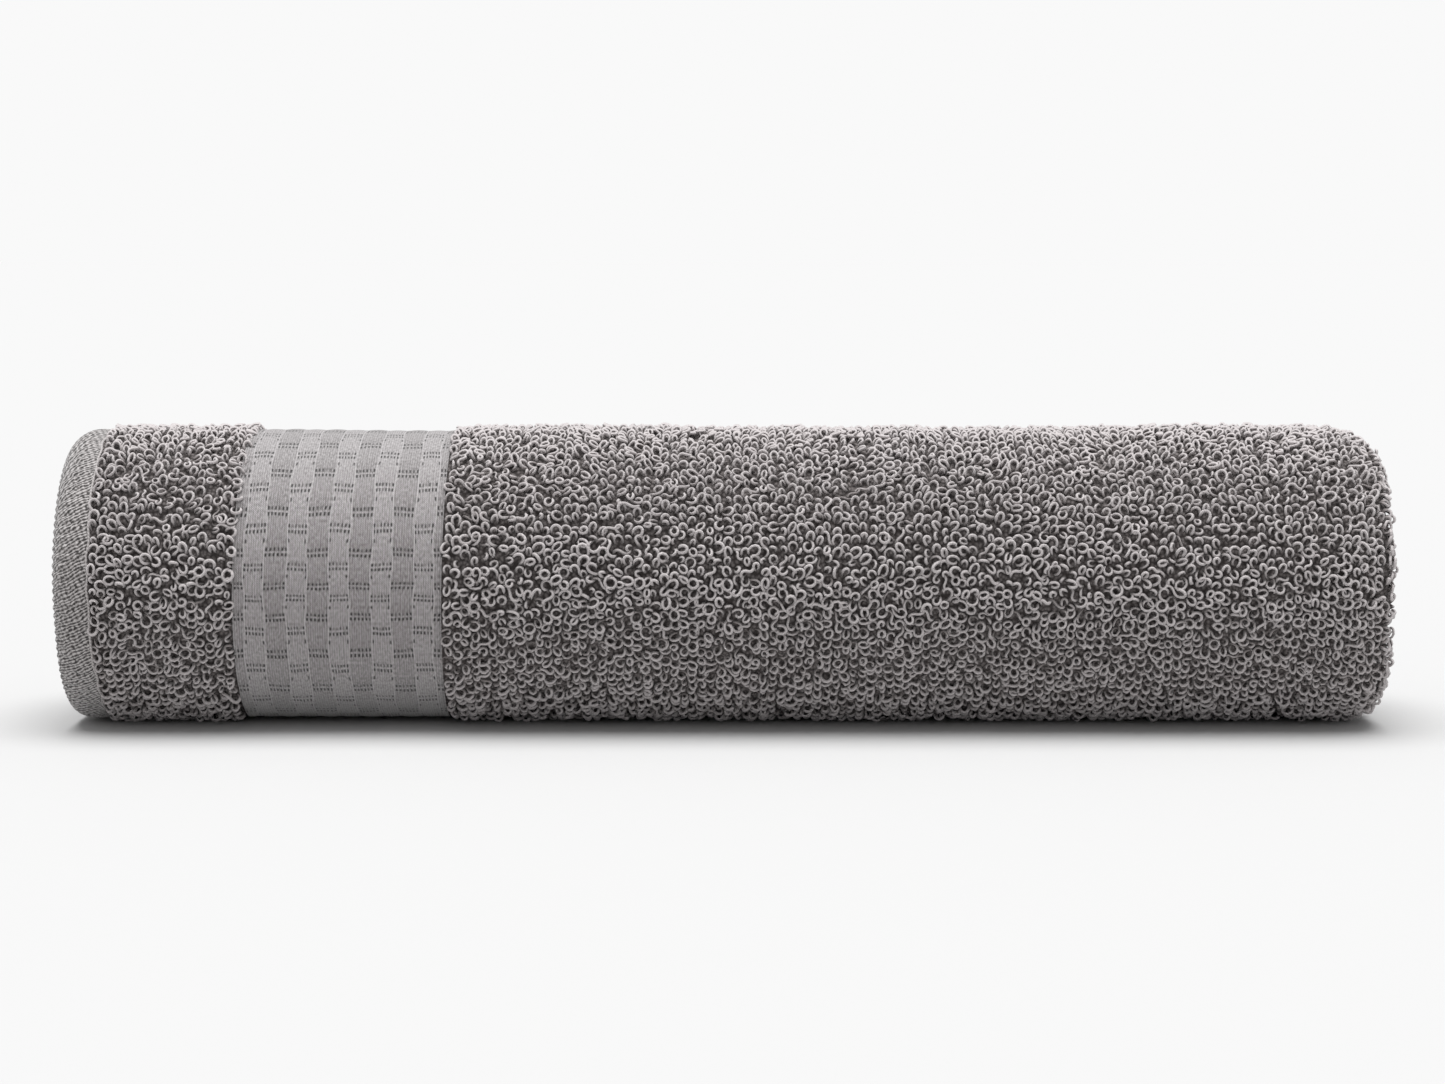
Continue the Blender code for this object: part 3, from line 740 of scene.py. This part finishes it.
def loop_rings(feet, out, along, random):
    """Points (loops, rings, sides, 3) of yarn loops and their height over the ground. The yarn's
    centre runs in a plane, and its direction turns by a t + b t^2 for t from -1 to 1, so that it
    closes to a ring, stays open, or bends both ways. The plane stands off the cloth by a tilt, on a
    heading, the middle of the loop highest, and both ends dive into the ground. Most are arches
    that point round the roll. Where the roll turns under they hang in upright planes, turned in
    them every way."""
    count = len(feet)
    drifted = np.sin(feet[:, 0] / (9 * MM)) + np.cos(feet[:, 2] / (7 * MM) + feet[:, 0] / (23 * MM))
    across = np.cross(out, along)
    hanging = random.uniform(0, 1, count) < smooth((HANGING_FROM - out[:, 2]) / HANGING_OVER)
    arched = (random.uniform(0, 1, count) < ARCHED_SHARE) & ~hanging
    free_heading = random.normal(*FREE_HEADING, count) + FREE_DRIFT * drifted
    arched_heading = random.normal(*ARCHED_HEADING, count) + ARCHED_DRIFT * drifted
    heading = np.where(arched, arched_heading, free_heading)
    downwards = np.where(across[:, 2] > 0, -DOWN_HEADING, DOWN_HEADING)
    heading = np.where(hanging, random.normal(*HANGING_HEADING, count) + downwards, heading)
    both_ways = random.uniform(0, 1, count) < BOTH_WAYS_SHARE
    turning = np.where(arched, random.uniform(*ARCHED_TURN, count), random.uniform(*FREE_TURN, count))
    turning = np.radians(np.where(both_ways, random.uniform(*BOTH_WAYS_TURN, count), turning))
    bending = random.uniform(*BOTH_WAYS_BEND, count)
    bending = np.radians(np.where(both_ways, bending, random.normal(*ONE_WAY_BEND, count)))
    radius = random.uniform(*ARCHED_RADIUS, count)
    radius = np.where(arched, radius, random.uniform(*FREE_RADIUS, count)) * MM
    growth = random.normal(*GROWTH, count)
    narrow = random.uniform(*NARROWING, count) + HANGING_WIDER * hanging
    upright = random.uniform(0, 1, count) < UPRIGHT_SHARE
    tilt = random.uniform(*UPRIGHT_TILT, count)
    tilt = np.radians(np.where(upright, tilt, random.uniform(*LEANING_TILT, count)))
    plumb = np.arcsin(np.clip(-out[:, 2], 0, 0.95)) + np.radians(random.uniform(*HANGING_TILT, count))
    tilt = np.where(hanging, plumb, tilt)
    top = random.uniform(*LOOP_TOP, count) * MM
    slope = random.normal(*LOOP_SLOPE, count) * MM
    t = np.linspace(-1, 1, LOOP_STEPS + 1)
    middle = (t[1:] + t[:-1]) / 2
    direction = turning[:, None] * middle + bending[:, None] * middle**2
    step = radius * 2 * np.maximum(turning, bending) / LOOP_STEPS
    step = step[:, None] * (1 + growth[:, None] * middle)
    start = np.zeros((count, 1))
    sideways = np.concatenate([start, np.cumsum(step * np.cos(direction), axis=1)], axis=1)
    sideways = sideways * narrow[:, None]
    upwards = np.concatenate([start, -np.cumsum(step * np.sin(direction), axis=1)], axis=1)
    sideways = sideways - sideways.mean(axis=1, keepdims=True)
    upwards = upwards - upwards.mean(axis=1, keepdims=True)
    spin = np.where(hanging, random.uniform(0, 2 * np.pi, count), 0)[:, None]
    turned = sideways * np.cos(spin) - upwards * np.sin(spin)
    upwards = sideways * np.sin(spin) + upwards * np.cos(spin)
    sideways = turned
    height = upwards * np.sin(tilt)[:, None] + slope[:, None] * t
    height = height + (top - height.max(axis=1))[:, None]
    height = height - (height + LOOP_FOOT) * np.abs(t) ** DIVE_POWER
    toward = along * np.cos(heading)[:, None] + across * np.sin(heading)[:, None]
    side = np.cross(out, toward)
    centre = (
        feet[:, None, :]
        + side[:, None, :] * sideways[..., None]
        + toward[:, None, :] * (upwards * np.cos(tilt)[:, None])[..., None]
        + out[:, None, :] * height[..., None]
    )
    ahead = unit(np.gradient(centre, axis=1))
    beside = unit(np.cross(ahead, out[:, None, :] + 0.05 * along[:, None, :]))
    above = np.cross(beside, ahead)
    a = np.arange(YARN_SIDES) * 2 * np.pi / YARN_SIDES + np.pi / 2
    around = beside[:, :, None, :] * np.cos(a)[:, None] + above[:, :, None, :] * np.sin(a)[:, None]
    thick = YARN_RADIUS * random.uniform(0.85, 1.15, count)
    points = centre[:, :, None, :] + around * thick[:, None, None, None]
    # The height over the ground of every point of the tube, from which the yarn is painted darker low down
    # and on its under side: painted shade.
    over_ground = np.sum((points - feet[:, None, None, :]) * out[:, None, None, :], axis=-1)
    points[..., 2] = np.maximum(points[..., 2], 0.1 * MM)
    return points, over_ground


def loops_piece(name, points, over_ground, random, looks):
    """The loops as one piece of closed tubes. Its attribute "rise" is 0 at the ground and 1 at the top of
    the pile, and the yarn's colour paints shade by it, "tone" is one number a loop, map "yarn" runs along
    and round the yarn in thicknesses, and "OFBake" gives each loop a cell of its own, its tube unrolled on
    the left and its caps right."""
    count, rings, sides = points.shape[:3]
    first = np.arange(count)[:, None, None] * rings * sides
    ring = np.arange(rings - 1)[None, :, None] * sides
    side = np.arange(sides)
    after = np.roll(side, -1)
    tubes = np.stack([first + ring + side, first + ring + after, first + ring + sides + after,
                      first + ring + sides + side], axis=-1).reshape(-1, 4)
    first = first[:, :, 0]
    caps = np.stack([first + side[::-1], first + (rings - 1) * sides + side], axis=1).reshape(-1, sides)
    piece, kept_order = mesh_object(name, points, [tubes, caps])
    piece.data.materials.append(looks)
    tone = np.repeat(random.uniform(0, 1, count), rings * sides)
    for label, values in (("tone", tone), ("rise", np.clip(over_ground / PILE_HEIGHT, 0, 1).ravel())):
        attribute = piece.data.attributes.new(label, "FLOAT", "POINT")
        attribute.data.foreach_set("value", values.astype(np.float32))
    tube = (rings - 1, sides, 4)
    along = np.broadcast_to(np.arange(rings - 1)[:, None, None] + np.array([0, 0, 1, 1]), tube)
    about = np.broadcast_to(side[:, None] + np.array([0, 1, 1, 0]), tube)
    a = 2 * np.pi * side / sides
    cap = np.stack([np.cos(a), np.sin(a)], axis=-1) * (0.05, 0.15) + (0.05, 0.15)
    cell = np.stack([along / (rings - 1) * 0.8, about / sides * 0.9], axis=-1).reshape(-1, 4, 2)
    per_side = math.ceil(math.sqrt(count))
    corner = np.stack([np.arange(count) % per_side, np.arange(count) // per_side], axis=-1)
    corner = corner[:, None, None, :]
    cap_cells = np.stack([cap + (0.85, 0.1), cap + (0.85, 0.5)])
    atlas = [((corner + cell * 0.9 + 0.05) / per_side).reshape(-1, 4, 2),
             ((corner + cap_cells * 0.9 + 0.05) / per_side).reshape(-1, sides, 2)]
    add_map(piece, "OFBake", atlas, kept_order)
    yarn = np.stack([along * 0.9, about / sides], axis=-1).reshape(-1, 4, 2)
    add_map(piece, "yarn", [np.tile(yarn, (count, 1, 1)), np.zeros((len(caps), sides, 2))], kept_order)


def terry_yarn():
    """Ring-spun two-ply cotton yarn, dyed mid grey and matt, with a soft nap that catches the light. Its
    plies show as faint slanting bands, and its colour is painted darker towards its foot and on its under
    side: painted shade of the pile."""
    looks, shader = matt_fibre("ring_spun_cotton_loops", 0.3)
    rise = node(looks, "ShaderNodeAttribute", {}, attribute_name="rise")["Fac"]
    tone = node(looks, "ShaderNodeAttribute", {}, attribute_name="tone")["Fac"]
    # Painted shade: the yarn is painted darker the lower it lies over the ground, at the loop's foot and
    # on its under side; tone varies it a little from loop to loop.
    pale = node(looks, "ShaderNodeMath", {0: tone, 1: 0.16, 2: rise}, operation="MULTIPLY_ADD")[0]
    stops = ((0.08, "#605A59"), (0.45, "#968F8E"), (0.85, "#C5BFBF"))
    colour = node(looks, "ShaderNodeValToRGB", {0: pale}, stops=stops)[0]
    yarn_uv = node(looks, "ShaderNodeUVMap", {}, uv_map="yarn")["UV"]
    along, about, _ = node(looks, "ShaderNodeSeparateXYZ", {0: yarn_uv})
    slanted = node(looks, "ShaderNodeMath", {0: along, 1: about}, operation="ADD")[0]
    plies = node(looks, "ShaderNodeMath", {0: slanted, 1: 2 * math.pi}, operation="MULTIPLY")[0]
    plies = node(looks, "ShaderNodeMath", {0: plies}, operation="SINE")[0]
    bump = node(looks, "ShaderNodeBump", {"Height": plies, "Strength": 0.4, "Distance": 0.1 * MM})[0]
    looks.node_tree.links.new(colour, shader.inputs["Base Color"])
    looks.node_tree.links.new(bump, shader.inputs["Normal"])
    return looks


def outer_loops(name, first_edge, last_edge, random, looks):
    """Loops over the outer turn between two edges, each an x and a slant, x + slant sin(angle round
    the roll). Columns stand ahead of their rows and behind them by turns, and each loop is a little
    off its place. Of the loops that the roll rests on, only a share is made."""
    rows = strip_turns(ROW_SPACING)
    rows = rows[rows < LOOSE_EDGE]
    columns = int(round((last_edge[0] - first_edge[0]) / COLUMN_SPACING))
    number = np.arange(columns)
    scatter = random.normal(0, ROW_SCATTER, (len(rows), columns))
    off_row = np.where(number % 2, ROW_STAGGER, -ROW_STAGGER) + scatter
    loop_turns = (rows[:, None] + off_row * (rows[1] - rows[0])).ravel()
    scatter = random.normal(0, COLUMN_SCATTER, (len(rows), columns))
    across = ((number + 0.5 + scatter) / columns).ravel()
    sine = np.sin(front_angle(loop_turns))
    low = first_edge[0] + first_edge[1] * sine
    high = last_edge[0] + last_edge[1] * sine
    feet, out, along = axes_at(loop_turns, low + (high - low) * across, PILE_HEIGHT, 0, -1)
    shown = (feet[:, 2] > HIDDEN_HEIGHT) | (random.uniform(0, 1, len(feet)) < HIDDEN_SHARE)
    loops_piece(name, *loop_rings(feet[shown], out[shown], along[shown], random), random, looks)


def fold_loops(turns, x, depth, reach, height, angles, random):
    """Points and heights of loops over a fold, in rows at these turns, at angles in degrees round its
    bend, which is an ellipse with the given reach and height."""
    loop_turns, a = np.meshgrid(turns, np.radians(angles), indexing="ij")
    staggered = np.arange(len(angles)) % 2 / 2 + random.normal(0, FOLD_ROW_SCATTER, a.shape)
    loop_turns = (loop_turns + staggered * (turns[1] - turns[0])).ravel()
    a = (a + random.normal(0, FOLD_ANGLE_SCATTER, a.shape)).ravel()
    way_out = unit(np.stack([np.sin(a) / reach, -np.cos(a) / height], axis=-1))
    foot_x = x + reach * np.sin(a) + way_out[:, 0] * GROUND_THICKNESS / 2
    foot_depth = depth - height * np.cos(a) + way_out[:, 1] * GROUND_THICKNESS / 2
    return loop_rings(*axes_at(loop_turns, foot_x, foot_depth, way_out[:, 0], way_out[:, 1]), random)


random = np.random.default_rng(11)
yarn_looks = terry_yarn()
hem_side = (HEM_EDGE + PILE_EDGE_GAP, 0)
border_side = (BORDER_START - PILE_EDGE_GAP, 3 * MM)
outer_loops("pile_by_hem", hem_side, border_side, random, yarn_looks)
main_edges = np.linspace(BORDER_END + PILE_EDGE_GAP, RIGHT_FOLD_X + 1 * MM, MAIN_PIECES + 1)
for number, (first_x, last_x) in enumerate(zip(main_edges, main_edges[1:])):
    slant = 0.8 * MM if number == 0 else 0
    outer_loops(f"pile_main_{number + 1}", (first_x, slant), (last_x, 0), random, yarn_looks)

fine = np.linspace(STRIP_START, WOUND_TURNS - 1, FINE_STEPS)
length = length_along(place(fine, 0.0, MIDDLE_LAYER))
inner_rows = np.interp(np.arange(0, length[-1], FOLD_ROW_SPACING), length, fine)
outer_rows = strip_turns(FOLD_ROW_SPACING)
outer_rows = outer_rows[outer_rows < LOOSE_EDGE]
right_fold = (RIGHT_FOLD_X, MIDDLE_LAYER, RIGHT_FOLD_REACH, RIGHT_FOLD_HEIGHT)
fold_sets = [
    fold_loops(outer_rows, *right_fold, (22, 60, 98, 136), random),
    fold_loops(inner_rows, *right_fold, (40, 80, 118, 152), random),
]
points, over_ground = (np.concatenate(parts) for parts in zip(*fold_sets))
loops_piece("pile_folded_end", points, over_ground, random, yarn_looks)

inner_rows = np.concatenate([inner_rows, outer_rows[outer_rows < WOUND_TURNS]])
left_fold = (LEFT_FOLD_X, LEFT_FOLD_DEPTH, -LEFT_FOLD_REACH, LEFT_FOLD_HEIGHT)
points, over_ground = fold_loops(inner_rows, *left_fold, (45, 90, 135), random)
loops_piece("pile_inner_fold", points, over_ground, random, yarn_looks)

first_shown = WOUND_TURNS + LOOSE_SHOWN_FROM * TAIL_TURNS
loose_rows = np.arange(first_shown, LOOSE_EDGE, ROW_SPACING / TAIL_REACH * TAIL_TURNS)
loose_columns = np.arange(LEFT_FOLD_X, RIGHT_FOLD_X, COLUMN_SPACING)
loop_turns, x = np.meshgrid(loose_rows, loose_columns, indexing="ij")
x = x + random.normal(0, LOOSE_SCATTER, x.shape)
feet, out, along = axes_at(loop_turns.ravel(), x.ravel(), INNER_LAYER + PADDED_THICKNESS / 2, 0, 1)
loops_piece("pile_loose_end", *loop_rings(feet, out, along, random), random, yarn_looks)

# The studio: a floor of white paper that runs to the horizon, a broad soft light overhead that leans
# a little towards the viewer, a bright white room, a backdrop as pale as the lit floor, and the
# camera.

PAPER_RADIUS = 300.0
PAPER_SIDES = 96
PAPER_COLOUR = "#C3C3C3"
BACKDROP = 0.947
ROOM_LIGHT = 0.53
SOFTBOX_LIGHT = 3.785
SOFTBOX_WIDTH = math.radians(50)
SOFTBOX_TILT = math.radians(2)

a = 2 * np.pi * np.arange(PAPER_SIDES) / PAPER_SIDES
corners = np.stack([np.cos(a), np.sin(a), np.zeros(PAPER_SIDES)], axis=-1) * PAPER_RADIUS
mesh = bpy.data.meshes.new("paper_floor")
mesh.from_pydata(corners.tolist(), [], [list(range(PAPER_SIDES))])
paper_floor = bpy.data.objects.new("paper_floor", mesh)
bpy.context.scene.collection.objects.link(paper_floor)
paper, paper_shader = matt_fibre("matt_white_paper", 0.0)
paper_shader.inputs["Base Color"].default_value = linear(PAPER_COLOUR)
paper_shader.inputs["Specular IOR Level"].default_value = 0.0
mesh.materials.append(paper)

sun = bpy.data.lights.new("overhead_softbox", "SUN")
sun.energy = SOFTBOX_LIGHT
sun.angle = SOFTBOX_WIDTH
overhead = bpy.data.objects.new("overhead_softbox", sun)
overhead.rotation_euler = (SOFTBOX_TILT, 0, 0)
bpy.context.scene.collection.objects.link(overhead)

world = bpy.data.worlds.new("studio")
bpy.context.scene.world = world
world.use_nodes = True
seen = node(world, "ShaderNodeLightPath", {})["Is Camera Ray"]
tone = node(world, "ShaderNodeMapRange", {0: seen, 3: ROOM_LIGHT, 4: BACKDROP})[0]
world.node_tree.links.new(tone, world.node_tree.nodes["Background"].inputs["Color"])
bpy.context.scene.view_settings.view_transform = "Standard"

# The photo's scale is that at the roll's axis, and the middle of the roll lies off its centre.
PHOTO_WIDTH = 1445
PIXELS_PER_METRE = 2757
CAMERA_DISTANCE = 1.08
CAMERA_ELEVATION = math.radians(6)
ROLL_BELOW_CENTRE = 31
ROLL_RIGHT_OF_CENTRE = 4
FOCAL_PIXELS = PIXELS_PER_METRE * CAMERA_DISTANCE
camera_data = bpy.data.cameras.new("camera")
camera_data.sensor_width = 36
camera_data.lens = camera_data.sensor_width * FOCAL_PIXELS / PHOTO_WIDTH
camera = bpy.data.objects.new("camera", camera_data)
camera.location = (
    -ROLL_RIGHT_OF_CENTRE / PIXELS_PER_METRE,
    -CAMERA_DISTANCE * math.cos(CAMERA_ELEVATION),
    ROLL_HEIGHT / 2 + CAMERA_DISTANCE * math.sin(CAMERA_ELEVATION),
)
above_roll = math.atan(ROLL_BELOW_CENTRE / FOCAL_PIXELS)
camera.rotation_euler = (math.pi / 2 - CAMERA_ELEVATION + above_roll, 0, 0)
bpy.context.scene.collection.objects.link(camera)
bpy.context.scene.camera = camera
